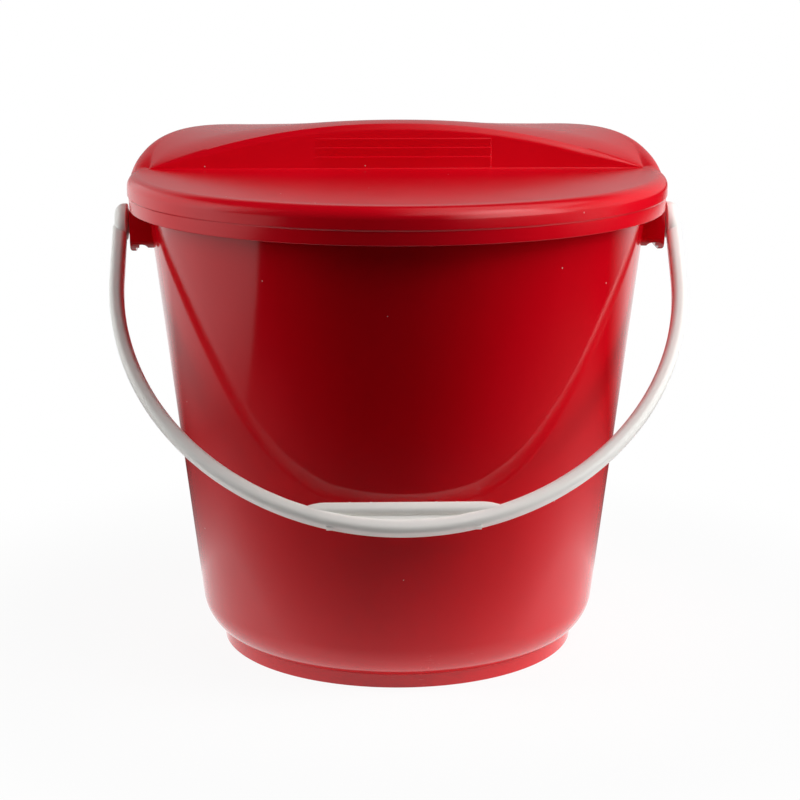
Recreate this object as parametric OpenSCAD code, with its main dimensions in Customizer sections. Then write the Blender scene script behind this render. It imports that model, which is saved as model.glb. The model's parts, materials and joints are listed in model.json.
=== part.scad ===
// Lidded plastic bucket with a swinging bail handle.
// The foot stands on z = 0, the bucket's axis is Z, and the bail hangs towards -Y.

/* [Bucket] */
// Height of the top of the rim
rim_z = 265.5; // [230:0.5:320]
// Outer radius of the rim's turned-down lip
rim_r = 147; // [120:0.5:180]
// How far the lip stands out from the wall at the rim
rim_overhang = 6.5; // [5.5:0.5:8]
// Height of the turned-down lip
rim_lip = 11; // [8:0.5:14]
// Rounding of the rim's outer edge
rim_round = 5; // [4:0.1:5.5]
// Thickness of the moulded wall
wall_t = 2; // [1.5:0.1:2.5]
// Growth of the wall's radius for each millimetre of height
draft = 0.117; // [0.06:0.001:0.14]
// Outer radius of the corner between the wall and the floor
corner_r = 25; // [20:0.5:30]
// Height of the foot ring
foot_h = 4; // [3:0.5:6]
// How far the foot ring stands inside the wall's lowest radius
foot_inset = 9; // [7:0.5:11]
// Thickness of the foot ring
foot_t = 3; // [2:0.5:4]

/* [Ears] */
// Width of an ear, around the bucket
ear_w = 34; // [28:1:42]
// Thickness of the plate that carries the bail's stud
ear_plate_t = 3; // [2.5:0.1:4]
// Thickness of the webs and of the roof of an ear
ear_web_t = 2.2; // [1.8:0.1:3]
// Gap between an ear and the bail's arm
ear_gap = 2.5; // [1.5:0.1:4]
// Gap between an ear and the lid's skirt
ear_skirt_gap = 0.6; // [0.4:0.1:2]
// Height of an ear's roof above the stud's axis
ear_rise = 8.4; // [7.8:0.1:10]
// Depth of an ear's plate below the stud's axis
ear_drop = 15; // [12:0.5:18]
// Width of a web's outer leg, beside the notch
ear_leg = 5; // [4:0.1:6]
// Rounding of an ear's outer lower edge
ear_edge = 2; // [1:0.1:2.5]
// Rounding of an ear's two lower corners
ear_corner = 8; // [4:0.5:10]
// Height of the arched notch at the foot of an ear's webs
notch_h = 4.4; // [3:0.1:5]
// Width of the arched notch
notch_w = 5.4; // [5:0.1:6]

/* [Lid] */
// Thickness of the moulded lid
lid_t = 2.2; // [2:0.1:2.8]
// Gap between the rim's lip and the lid's skirt
rim_gap = 0.8; // [0.5:0.1:2]
// Gap between the rim and the underside of the lid
seat_gap = 0.3; // [0.2:0.05:0.5]
// Depth of the skirt below the lid's flat top
skirt_h = 19.4; // [17:0.1:22]
// Height of the skirt's lower band, below the step
band_h = 7.6; // [5:0.1:9]
// Depth of the step above the lower band
band_step = 0.6; // [0.4:0.1:0.7]
// Width of the rounded shoulder, measured across the lid
shoulder_w = 7.3; // [6.5:0.1:8]
// Height of the rounded shoulder
shoulder_h = 6.5; // [5.5:0.1:7]
// How much squarer the shoulder is along the hood than along the flat top
shoulder_full = 1.3; // [0:0.1:1.5]
// Height of the hood above the flat top, at the finger wall
hood_h = 28; // [25:0.1:33]
// Fall of the hood for each millimetre towards the back
hood_fall = 0.129; // [0.08:0.001:0.15]
// Distance behind the wall at which the hood's corners are full
hood_run = 106; // [90:1:120]
// Power of the curve in which the hood's corners rise
hood_power = 1.7; // [1.3:0.05:2.5]
// Power of the wall's arched outline
arch_power = 2.25; // [2:0.05:3]
// Distance of the finger wall behind the bucket's axis
wall_y = 6; // [3:0.5:12]
// How far the finger wall leans back over its full height
wall_lean = 4.5; // [3:0.5:6]
// Height of the crest's rounding
crest_h = 7; // [3:0.1:8]
// Depth of the crest's rounding, towards the back
crest_d = 14; // [6:0.5:18]
// Distance from the wall's two ends to the flat top's edge
tip_inset = 3.9; // [2:0.1:6]

/* [Finger steps] */
// Number of finger steps
step_count = 3; // [2:1:3]
// Half the width of the stepped panel
step_half = 52.6; // [40:0.1:60]
// Height of the lowest step
step_first = 6.6; // [5:0.1:7]
// Height of each step above it
step_pitch = 5; // [4:0.1:5.5]
// Bevel on each step's edge
step_bevel = 0.25; // [0.1:0.05:0.4]

/* [Bail] */
// Gap between the lid's edge and an arm
arm_gap = 0.7; // [0.5:0.1:2]
// Width of the bail, across its bend
arm_w = 8; // [7:0.1:10]
// Thickness of the bail
arm_t = 9.5; // [8:0.1:11]
// Rounding of the bail's edges
arm_round = 3.2; // [2:0.1:3.6]
// Straight length of an arm, from the stud's axis to the bend
arm_len = 39; // [32:0.5:50]
// Radius of the boss at the end of an arm
boss_r = 10.2; // [9:0.1:12]
// How far the boss's outer face stands inside the arm's
boss_inset = 1.1; // [0.5:0.1:1.5]
// Rounding of the boss's outer edge
boss_round = 5; // [3:0.1:5.5]
// Radius of the stud
stud_r = 4.2; // [3.5:0.1:4.5]
// Running clearance of the stud in its hole
stud_clear = 0.05; // [0.02:0.01:0.1]
// How far the stud's head stands out round the stud
head_lip = 0.8; // [0.4:0.1:1]
// Gap between the plate and the stud's head
head_gap = 0.5; // [0.3:0.1:0.8]
// Length of the stud's head
head_len = 2.6; // [2:0.1:3]
// Gap between the bail and the wall that it rests on
rest_gap = 0.4; // [0.3:0.05:1]

/* [Grip] */
// Distance between the grip bar and the bail's own bar
grip_in = 10.7; // [9:0.1:12]
// Half the straight length of the grip bar
grip_half = 40; // [34:0.5:46]
// Width of the grip bar
grip_w = 7.5; // [6:0.1:7.8]
// Thickness of the grip bar
grip_t = 8.7; // [7:0.1:9]
// Radius of the bends at the grip bar's ends
grip_bend_r = 24; // [20:0.5:30]
// Angle of those bends
grip_bend = 25; // [20:1:28]
// Thickness of the web between the two bars
grip_web_t = 3; // [2:0.1:5]
// Places of the four nubs, from the middle of the grip
nub_x = [16.9, 27.8];
// Radius of a nub
nub_r = 1.7; // [1.2:0.1:2]
// How far a nub stands out of the grip bar
nub_out = 1; // [0.6:0.1:1.2]

/* [Hidden] */
$fn = 96;
joint = 0.01;

// Bucket: the outer wall is a straight taper, and the inner faces lie one wall inside it
slant = sqrt(1 + draft * draft);
function wall_r(z) = rim_r - rim_overhang - draft * (rim_z - z);
foot_r = wall_r(0) - foot_inset;
corner_z = foot_h + corner_r;
corner_x = wall_r(corner_z) - corner_r * slant;
floor_z = foot_h + wall_t;
lip_z = rim_z - rim_lip;
rim_bevel = 1;

// Lid: the flat top ends where the rounded shoulder starts
lid_r = rim_r + rim_gap + lid_t;
top_z = rim_z + seat_gap + lid_t;
top_r = lid_r - shoulder_w;
skirt_z = top_z - skirt_h;
band_z = skirt_z + band_h;
band_r = lid_r - band_step;
// The lower band tapers in towards its lip, and its step and edges are bevelled
band_taper = 0.4;
step_slope = 0.3;
lip_bevel = 0.5;
lip_break = 0.2;
lip_r = band_r - band_taper;
tip_a = asin(wall_y / top_r);
tip_x = top_r * cos(tip_a) - tip_inset;

// Bail and ears
arm_in = lid_r + arm_gap;
arm_out = arm_in + arm_w;
bail_r = arm_in + arm_w / 2;
ear_x = arm_in - ear_gap;
ear_top = skirt_z - ear_skirt_gap;
pivot_z = ear_top - ear_rise;
ear_foot = pivot_z - ear_drop;
head_x = ear_x - ear_plate_t - head_gap;
grip_s = arm_len + bail_r - grip_in;
// The bent ends are a little slimmer than the grip bar, and start inside it
grip_step = 0.2;
grip_lap = 3;

// The bail rests on the wall where the grip bar's rounded edge meets it:
// the edge's centre lies edge_s from the stud's axis and edge_t towards the wall
grip_round = min(arm_round, grip_w / 2 - joint);
edge_s = grip_s - grip_w / 2 + grip_round;
edge_t = grip_t / 2 - grip_round;
reach = (wall_r(pivot_z) + (rest_gap + grip_round) * slant) / (slant * norm([edge_s, edge_t]));
rest_angle = asin(reach) - atan2(draft * edge_s - edge_t, edge_s + draft * edge_t);

function mix(a, b, t) = a + (b - a) * t;

// Points of an arc with its centre at c, its radius r, from angle a0 to a1, in n steps
function arc(c, r, a0, a1, n) =
    [for (i = [0:n]) let (a = mix(a0, a1, i / n)) [c[0] + r * cos(a), c[1] + r * sin(a)]];

module round_bar(w, t, r) {
    square([w - 2 * r, t], center = true);
    square([w, t - 2 * r], center = true);
    for (x = [-1, 1], y = [-1, 1])
        translate([x * (w / 2 - r), y * (t / 2 - r)]) circle(r);
}

// Outline of the bucket's moulding, from the foot round the outside and back down the inside.
// The foot ring starts and ends where the rounded corner has its radius.
function corner_a(x) = -acos((x - corner_x) / corner_r);
function shell_outline() = let (tilt = atan(draft), in_r = wall_r(rim_z) - wall_t * slant)
    concat(
        [[foot_r - foot_t, 0], [foot_r, 0]],
        arc([corner_x, corner_z], corner_r, corner_a(foot_r), -tilt, 10),
        [[wall_r(rim_z - wall_t), rim_z - wall_t],
         [rim_r - rim_round, rim_z - wall_t]],
        arc([rim_r - rim_round, rim_z - rim_round], rim_round - wall_t, 80, 0, 4),
        [[rim_r - wall_t, lip_z], [rim_r, lip_z]],
        arc([rim_r - rim_round, rim_z - rim_round], rim_round, 0, 90, 6),
        [[in_r + rim_bevel, rim_z], [in_r, rim_z - rim_bevel]],
        arc([corner_x, corner_z], corner_r - wall_t, -tilt, -90, 10),
        [[0, floor_z], [0, foot_h]],
        arc([corner_x, corner_z], corner_r, -90, corner_a(foot_r - foot_t), 4)
    );

module bucket_shell() {
    rotate_extrude() polygon(shell_outline());
}

// Front view of an ear, drawn on x and z, with the arched notch between its leg and the wall
module ear_front() {
    notch_out = ear_x - ear_leg;
    notch_top = ear_foot + notch_h;
    notch_r = notch_h - ear_edge / 4;
    difference() {
        union() {
            translate([0, ear_foot + ear_edge]) square([ear_x, ear_top - ear_foot - ear_edge]);
            translate([0, ear_foot]) square([ear_x - ear_edge, ear_edge + joint]);
            translate([ear_x - ear_edge, ear_foot + ear_edge]) circle(ear_edge);
        }
        translate([notch_out - notch_w, ear_foot - joint])
            square([notch_w, notch_h - notch_r + joint]);
        translate([notch_out - notch_w + notch_r, ear_foot - joint])
            square([notch_w - notch_r, notch_h + joint]);
        translate([notch_out - notch_w + notch_r, notch_top - notch_r]) circle(notch_r);
    }
}

// Side view of an ear, drawn on y and z
module ear_side() {
    translate([-ear_w / 2, ear_foot + ear_corner]) square([ear_w, ear_top - ear_foot - ear_corner]);
    translate([-ear_w / 2 + ear_corner, ear_foot])
        square([ear_w - 2 * ear_corner, ear_corner + joint]);
    for (y = [-1, 1])
        translate([y * (ear_w / 2 - ear_corner), ear_foot + ear_corner]) circle(ear_corner);
}

module wall_cone(inset) {
    low = ear_foot - 5;
    high = ear_top + 5;
    translate([0, 0, low])
        cylinder(h = high - low, r1 = wall_r(low) - inset, r2 = wall_r(high) - inset);
}

// One ear: a plate on two webs and a roof, hollow and open below
module ear() {
    difference() {
        intersection() {
            rotate([90, 0, 0]) translate([0, 0, -ear_w / 2]) linear_extrude(ear_w) ear_front();
            rotate([90, 0, 90]) linear_extrude(ear_x) ear_side();
        }
        wall_cone(wall_t / 2);
        translate([0, -ear_w / 2 + ear_web_t, ear_foot - 1])
            cube([ear_x - ear_plate_t, ear_w - 2 * ear_web_t, ear_top - ear_foot - ear_web_t + 1]);
        translate([ear_x - ear_plate_t - 1, 0, pivot_z]) rotate([0, 90, 0])
            cylinder(h = ear_plate_t + 2, r = stud_r + stud_clear);
    }
}

module bucket() {
    color("firebrick") {
        bucket_shell();
        for (side = [0, 1]) mirror([side, 0, 0]) ear();
    }
}

// Lid. Its top is a grid of columns that run from the front rim over the finger wall to the
// back rim; beside the wall's two ends they all meet in one point.
end_cols = 13;
panel_cols = 18;
strip = 0.35;
cols = 2 * end_cols + 2 + panel_cols;
front_rows = 3;
hood_rows = 9;
inner_rows = 7;
round_steps = 4;
under_steps = 2;
panel_a = acos((step_half + strip) / tip_x);

// Place along the wall of column k, from the left end to the right end
function wall_x(k) =
    k <= end_cols ? -tip_x * cos(panel_a * k / end_cols) :
    k <= end_cols + 1 ? -step_half :
    k <= end_cols + 1 + panel_cols ? mix(-step_half, step_half, (k - end_cols - 1) / panel_cols) :
    -wall_x(cols - k);

// Turn of column k round the rim, as a share of the way from the left end to the right end
function rim_share(k) = acos(-wall_x(k) / tip_x) / 180;
function front_a(k) = 180 - tip_a + (180 + 2 * tip_a) * rim_share(k);
function back_a(k) = 180 - tip_a - (180 - 2 * tip_a) * rim_share(k);
function on_rim(a) = top_r * [cos(a), sin(a)];

// Height of the hood above the flat top, and of the wall's arched outline
function hood(x, y) = hood_h * (1 - pow(min(1, abs(x) / tip_x), arch_power)
    * pow(max(0, 1 - (y - wall_y) / hood_run), hood_power)) - hood_fall * (y - wall_y);
function crest(x) = hood_h * (1 - pow(abs(x) / tip_x, arch_power));
function lean(h) = wall_lean * h / hood_h;

// Tops of the finger steps, and the height of the crest's rounding, which stays clear of them
// and takes no more than a share of the wall towards its ends
round_share = 0.6;
function step_top(i) = i == 0 ? 0 : step_first + (i - 1) * step_pitch;
panel_round = min(crest_h, crest(step_half) - step_top(step_count) - 2 * step_bevel);
function crest_round(x) = min(panel_round, round_share * crest(x));
function round_depth(x) = crest_d * crest_round(x) / crest_h;
function step_scale(x) = abs(x) <= step_half + joint ? 1 :
    (crest(x) - crest_round(x)) / (crest(step_half) - panel_round);

// Points [y, height] up the front of the wall at x: the finger steps, then the rounded crest
function wall_front(x) = let (
        s = step_scale(x), low = crest(x) - crest_round(x), d = round_depth(x),
        over = hood(x, wall_y + lean(low) + d))
    concat(
        [for (i = [1:step_count]) each let (h = step_top(i))
            [[s == 1 ? lean(step_top(i - 1)) : lean(s * (h - step_bevel)), s * (h - step_bevel)],
             [lean(s * (h + step_bevel)), s * (h + step_bevel)]]],
        [for (i = [0:round_steps]) let (a = 90 * i / round_steps)
            [lean(low) + d * (1 - cos(a)), mix(low, over, sin(a))]]
    );

function column(k) = let (x = wall_x(k), f = on_rim(front_a(k)), b = on_rim(back_a(k)),
        foot = [x, wall_y], w = wall_front(x), last = w[len(w) - 1],
        top = [x, wall_y + last[0]])
    concat(
        [for (i = [0:front_rows]) let (p = mix(f, foot, i / front_rows))
            [p[0], p[1], top_z]],
        [for (q = w) [x, wall_y + q[0], top_z + q[1]]],
        [for (i = [1:hood_rows]) let (p = mix(top, b, i / hood_rows))
            [p[0], p[1], top_z + hood(p[0], p[1])]]
    );

// Underside: one thickness below the top and behind the wall, less behind its low ends
full_back = 8;
function back_share(x) = min(1, crest(x) / full_back);
function wall_back(x) = let (
        t = lid_t * back_share(x), low = crest(x) - crest_round(x), d = round_depth(x),
        over = hood(x, wall_y + lean(low) + d) - lid_t)
    concat(
        [[t, -lid_t]],
        [for (i = [0:under_steps]) let (a = 90 * i / under_steps)
            [lean(low) + t + (d - t) * (1 - cos(a)), mix(low + t - lid_t, over, sin(a))]]
    );
function under_column(k) = let (x = wall_x(k), f = on_rim(front_a(k)), b = on_rim(back_a(k)),
        w = wall_back(x), foot = [x, wall_y + w[0][0]], top = [x, wall_y + w[len(w) - 1][0]])
    concat(
        [for (i = [1:front_rows - 1]) let (p = mix(f, foot, i / front_rows))
            [p[0], p[1], top_z - lid_t]],
        [for (q = w) [x, wall_y + q[0], top_z + q[1]]],
        [for (i = [1:inner_rows - 1]) let (p = mix(top, b, i / inner_rows))
            [p[0], p[1], top_z - lid_t + hood(p[0], p[1])]]
    );

// Edge loop of the top, round from the left end over the front and the back
loop_n = 2 * cols;
function loop_a(m) = m <= cols ? front_a(m) : back_a(loop_n - m);
function loop_h(m) = let (p = on_rim(loop_a(m))) m <= cols ? 0 : hood(p[0], p[1]);

// Radius and height of the skirt's rings where the top's edge has the height h
shoulder_steps = 4;
full_h = 8;
function skirt_ring(h) = let (
        z = top_z + h, inside = lid_r - lid_t - top_r,
        p = 2 / (2 + shoulder_full * min(1, max(0, h) / full_h)))
    concat(
        [for (i = [1:shoulder_steps]) let (a = 90 * i / shoulder_steps)
            [top_r + shoulder_w * pow(sin(a), p), z - shoulder_h * (1 - pow(cos(a), p))]],
        [[lid_r, band_z + step_slope], [band_r, band_z - step_slope],
         [lip_r, skirt_z + lip_bevel], [lip_r - lip_bevel, skirt_z],
         [lid_r - lid_t + lip_break, skirt_z], [lid_r - lid_t, skirt_z + lip_break]],
        [for (i = [shoulder_steps:-2:0]) let (a = 90 * i / shoulder_steps)
            [top_r + inside * pow(sin(a), p), z - lid_t - (shoulder_h - lid_t) * (1 - pow(cos(a), p))]]
    );

rows = len(column(1));
under_rows = len(under_column(1));
rings = len(skirt_ring(0));
grid_n = 4 + (cols - 1) * rows;
ring_n = rings * loop_n;
// The first and the last column have two points: one on the edge, and the wall's end
function top_i(k, j) = k > 0 && k < cols ? 4 + (k - 1) * rows + j :
    (k == 0 ? 0 : 1) + (j == 0 || j == rows - 1 ? 0 : 2);
function ring_i(p, m) = grid_n + (p - 1) * loop_n + m % loop_n;
function loop_i(p, m) = p > 0 ? ring_i(p, m) :
    m % loop_n <= cols ? top_i(m % loop_n, 0) : top_i(loop_n - m, rows - 1);
function under_i(k, j) = k == 0 || j == 0 ? ring_i(rings, k) : k == cols ? ring_i(rings, cols) :
    j == under_rows + 1 ? ring_i(rings, loop_n - k) :
    grid_n + ring_n + (k - 1) * under_rows + j - 1;

// Two triangles for each cell of a grid, or one where a side has no length
function cell(a, b, c, d) = a == b ? [[b, c, d]] : c == d ? [[a, b, c]] : [[a, b, c], [a, c, d]];

function lid_points() = concat(
    [for (k = [0, cols]) column(k)[0]],
    [for (x = [-tip_x, tip_x]) [x, wall_y, top_z]],
    [for (k = [1:cols - 1]) each column(k)],
    [for (p = [0:rings - 1], m = [0:loop_n - 1])
        let (q = skirt_ring(loop_h(m))[p], a = loop_a(m)) [q[0] * cos(a), q[0] * sin(a), q[1]]],
    [for (k = [1:cols - 1]) each under_column(k)]
);

function lid_faces() = concat(
    [for (k = [0:cols - 1], j = [0:rows - 2])
        each cell(top_i(k, j), top_i(k, j + 1), top_i(k + 1, j + 1), top_i(k + 1, j))],
    [for (p = [0:rings - 1], m = [0:loop_n - 1])
        each cell(loop_i(p, m), loop_i(p, m + 1), loop_i(p + 1, m + 1), loop_i(p + 1, m))],
    [for (k = [0:cols - 1], j = [0:under_rows])
        each cell(under_i(k, j), under_i(k + 1, j), under_i(k + 1, j + 1), under_i(k, j + 1))]
);

module lid() {
    color("crimson") polyhedron(lid_points(), lid_faces(), convexity = 6);
}

// Boss, stud and head at one end of the bail, as radius and distance from the bucket's axis.
// A cone joins the stud to the boss, and starts clear of the ear.
cone_gap = 0.3;
cone_w = 3.6;
boss_bevel = 0.6;
head_bevel = 1;
function boss_outline() = let (out = arm_out - boss_inset, head_r = stud_r + head_lip)
    concat(
        [[0, head_x - head_len], [head_r - head_bevel, head_x - head_len],
         [head_r, head_x - head_len + head_bevel],
         [head_r, head_x], [stud_r, head_x], [stud_r, ear_x + cone_gap],
         [stud_r + cone_w, arm_in], [boss_r - boss_bevel, arm_in], [boss_r, arm_in + boss_bevel]],
        arc([boss_r - boss_round, out - boss_round], boss_round, 0, 90, 8),
        [[0, out]]
    );

module boss() {
    rotate([0, 90, 0]) rotate_extrude() polygon(boss_outline());
}

// The bail's own bar: two straight arms and a half circle, hanging towards -z
module bail_bar() {
    translate([0, 0, -arm_len]) rotate([-90, 0, 0])
        rotate_extrude(angle = 180) translate([bail_r, 0]) round_bar(arm_w, arm_t, arm_round);
    for (side = [-1, 1]) translate([side * bail_r, 0, -arm_len])
        linear_extrude(arm_len - boss_r / 2) round_bar(arm_w, arm_t, arm_round);
}

// The straight grip bar inside the bend, its bent ends, its web and its nubs
module grip() {
    translate([-grip_half, 0, -grip_s]) rotate([0, 90, 0])
        linear_extrude(2 * grip_half) round_bar(grip_w, grip_t, grip_round);
    for (side = [0, 1]) mirror([side, 0, 0])
        translate([grip_half, 0, -grip_s - grip_bend_r]) rotate([90, 0, 0])
            rotate([0, 0, 90 - grip_bend]) rotate_extrude(angle = grip_bend + grip_lap)
                translate([grip_bend_r, 0])
                    round_bar(grip_w - grip_step, grip_t - grip_step, grip_round - grip_step / 2);
    translate([-grip_half, -grip_web_t / 2, -grip_s - grip_in])
        cube([2 * grip_half, grip_web_t, grip_in]);
    for (x = nub_x, side = [-1, 1])
        translate([side * x, 0, -grip_s + grip_w / 2 + nub_out - nub_r]) sphere(nub_r);
}

module handle() {
    color("whitesmoke") translate([0, 0, pivot_z]) rotate([-rest_angle, 0, 0]) {
        bail_bar();
        grip();
        for (side = [0, 1]) mirror([side, 0, 0]) boss();
    }
}

bucket();
lid();
handle();
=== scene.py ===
"""Lidded plastic fire bucket with a swinging bail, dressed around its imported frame.

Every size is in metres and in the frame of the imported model: the foot stands on z = 0, the
bucket's axis is Z, and the bail hangs towards -Y. The overall sizes come from the frame, and the
mouldings' own wall thicknesses, roundings and steps are the fields of their classes.
"""

import json
import logging
import math
from dataclasses import dataclass
from enum import Enum
from typing import Callable, Iterable, Sequence

import bmesh
import bpy
from mathutils import Matrix, Vector


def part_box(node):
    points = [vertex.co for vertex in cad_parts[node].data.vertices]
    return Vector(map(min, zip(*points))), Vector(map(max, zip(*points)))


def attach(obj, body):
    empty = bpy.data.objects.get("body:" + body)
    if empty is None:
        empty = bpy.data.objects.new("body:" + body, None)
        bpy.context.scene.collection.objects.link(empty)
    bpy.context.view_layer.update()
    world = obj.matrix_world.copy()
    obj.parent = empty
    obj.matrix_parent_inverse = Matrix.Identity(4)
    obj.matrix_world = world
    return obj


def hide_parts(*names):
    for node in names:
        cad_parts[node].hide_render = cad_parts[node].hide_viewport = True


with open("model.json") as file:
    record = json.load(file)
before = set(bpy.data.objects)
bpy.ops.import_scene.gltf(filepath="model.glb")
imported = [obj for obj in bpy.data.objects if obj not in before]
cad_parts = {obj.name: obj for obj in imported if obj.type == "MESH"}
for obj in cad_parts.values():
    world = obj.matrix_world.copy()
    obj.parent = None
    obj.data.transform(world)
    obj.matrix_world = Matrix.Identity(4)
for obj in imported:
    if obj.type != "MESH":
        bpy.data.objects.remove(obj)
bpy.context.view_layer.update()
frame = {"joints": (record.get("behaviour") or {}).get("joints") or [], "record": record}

LOG = logging.getLogger("fire_bucket")
TINY = 1e-7
WHITE = (1.0, 1.0, 1.0)

Point = tuple[float, float]
Triple = tuple[float, float, float]
Colour = Triple
Value = "Field | float | int | Sequence[float]"


def mix(a: float, b: float, t: float) -> float:
    """Return the value a share t of the way from a to b."""
    return a + (b - a) * t


def ease(t: float) -> float:
    """Return 0 to 1 for t from 0 to 1, level at both ends."""
    return t * t * (3 - 2 * t)


def shares(steps: int) -> list[float]:
    """Return even shares from 0 to 1, both included, in a number of steps."""
    return [i / steps for i in range(steps + 1)]


def turned(angle: float) -> Point:
    """Return the cosine and the sine of an angle in degrees."""
    return math.cos(math.radians(angle)), math.sin(math.radians(angle))


def arc(centre: Point, radius: float, start: float, end: float, steps: int) -> list[Point]:
    """Return the points of an arc between two angles in degrees, both ends included."""
    ways = (turned(mix(start, end, t)) for t in shares(steps))
    return [(centre[0] + radius * c, centre[1] + radius * s) for c, s in ways]


def maths(operation: str) -> Callable[["Field", Value], "Field"]:
    """Return a method that gives a Math node's result on a value and another."""
    return lambda value, other: value.shader.node(
        "ShaderNodeMath", {"operation": operation}, {0: value, 1: other})


@dataclass(eq=False)
class Field:
    """A value in a shader: one node's output, with the arithmetic that the finishes use."""

    shader: "Shader"
    out: bpy.types.NodeSocket | None

    __add__, __sub__, __mul__ = maths("ADD"), maths("SUBTRACT"), maths("MULTIPLY")
    __truediv__, __pow__, __lt__ = maths("DIVIDE"), maths("POWER"), maths("LESS_THAN")
    __radd__, __rmul__ = __add__, __mul__
    least, most = maths("MINIMUM"), maths("MAXIMUM")

    def __rsub__(self, other: Value) -> "Field":
        """Return other - self."""
        return self * -1.0 + other

    def ramp(self, dark: float, full: float) -> "Field":
        """Return 0 at dark and past it, 1 at full and past it, and a smooth change between."""
        return self.shader.node(
            "ShaderNodeMapRange", {"interpolation_type": "SMOOTHSTEP", "clamp": True},
            {"Value": self, "From Min": dark, "From Max": full},
        )


class Shader:
    """A node tree in the making, for a material or for the world."""

    MIX_FACTOR, MIX_A, MIX_B, MIX_RESULT = 0, 6, 7, 2

    def __init__(self, owner: bpy.types.ID, coordinates: str = "Object") -> None:
        """Clear the nodes of a material or a world, and start with a place.

        Args:
            owner: The material or the world.
            coordinates: Kind of coordinates that give the place.
        """
        owner.use_nodes = True
        self.tree = owner.node_tree
        self.tree.nodes.clear()
        self.place = self.node("ShaderNodeTexCoord", output=coordinates)

    def node(
        self, kind: str, settings: dict[str, object] | None = None,
        inputs: dict[int | str, Value] | None = None, output: int | str = 0,
    ) -> Field:
        """Make a node.

        Args:
            kind: The node's type.
            settings: The node's own settings.
            inputs: Values or links of its sockets, by name or number.
            output: The output that is returned.

        Returns:
            The chosen output.
        """
        made = self.tree.nodes.new(kind)
        for name, value in (settings or {}).items():
            setattr(made, name, value)
        for name, value in (inputs or {}).items():
            socket = made.inputs[name]
            if isinstance(value, Field):
                self.tree.links.new(value.out, socket)
            else:
                socket.default_value = (*value, 1.0) if socket.type == "RGBA" else value
        return Field(self, made.outputs[output] if len(made.outputs) else None)

    def axis(self, name: str) -> Field:
        """Return one coordinate, X, Y or Z, of the place."""
        return self.node("ShaderNodeSeparateXYZ", {}, {"Vector": self.place}, name)

    def length(self, place: Field) -> Field:
        """Return how far a place is from the origin."""
        return self.node("ShaderNodeVectorMath", {"operation": "LENGTH"}, {0: place}, "Value")

    def stretched(self, scale: Triple) -> Field:
        """Return the place multiplied by one scale for each axis."""
        return self.node(
            "ShaderNodeVectorMath", {"operation": "MULTIPLY"}, {0: self.place, 1: scale})

    def blend(self, factor: Value, a: Value, b: Value) -> Field:
        """Return colour a where factor is 0 and colour b where it is 1."""
        return self.node(
            "ShaderNodeMix", {"data_type": "RGBA"},
            {self.MIX_FACTOR: factor, self.MIX_A: a, self.MIX_B: b}, self.MIX_RESULT,
        )

    def bump(self, height: Field, depth: float, below: Field | None = None) -> Field:
        """Return a normal bent by a height.

        Args:
            height: Height of the surface, from 0 to 1.
            depth: Real height of 1, in metres.
            below: A normal that the bump is laid over.

        Returns:
            The bent normal.
        """
        inputs = {"Height": height, "Distance": depth, "Strength": 1.0}
        if below is not None:
            inputs["Normal"] = below
        return self.node("ShaderNodeBump", {}, inputs)

    def white(self, kind: str, strength: Value) -> Field:
        """Return an Emission or Background node that gives white light of a strength."""
        return self.node(kind, {}, {"Color": WHITE, "Strength": strength})

    def either(self, factor: Field, a: Field, b: Field) -> Field:
        """Return shader a where factor is 0 and shader b where it is 1."""
        return self.node("ShaderNodeMixShader", {}, {0: factor, 1: a, 2: b})

    def rays(self) -> tuple[Field, Field]:
        """Return 1 for what the camera or a clear piece shows, and 1 for what gloss shows."""
        camera, clear, glossy = (
            self.node("ShaderNodeLightPath", output=f"Is {kind} Ray")
            for kind in ("Camera", "Transmission", "Glossy"))
        return camera.most(clear), glossy


@dataclass(frozen=True)
class Noise:
    """Smooth noise from 0 to 1: its feature size, stretch and detail, and the range it keeps."""

    size: float
    detail: float = 2.0
    rough: float = 0.5
    stretch: Triple | None = None
    kept: Point | None = None

    def field(self, shader: Shader) -> Field:
        """Make the noise, cut to the range that is kept, if there is one.

        Args:
            shader: Node tree it is made in.

        Returns:
            The noise, from 0 to 1.
        """
        where = shader.stretched(self.stretch) if self.stretch else shader.place
        found = shader.node("ShaderNodeTexNoise", {"noise_dimensions": "3D"}, {
            "Vector": where, "Scale": 1.0 / self.size,
            "Detail": self.detail, "Roughness": self.rough})
        return found.ramp(*self.kept) if self.kept else found


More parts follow.
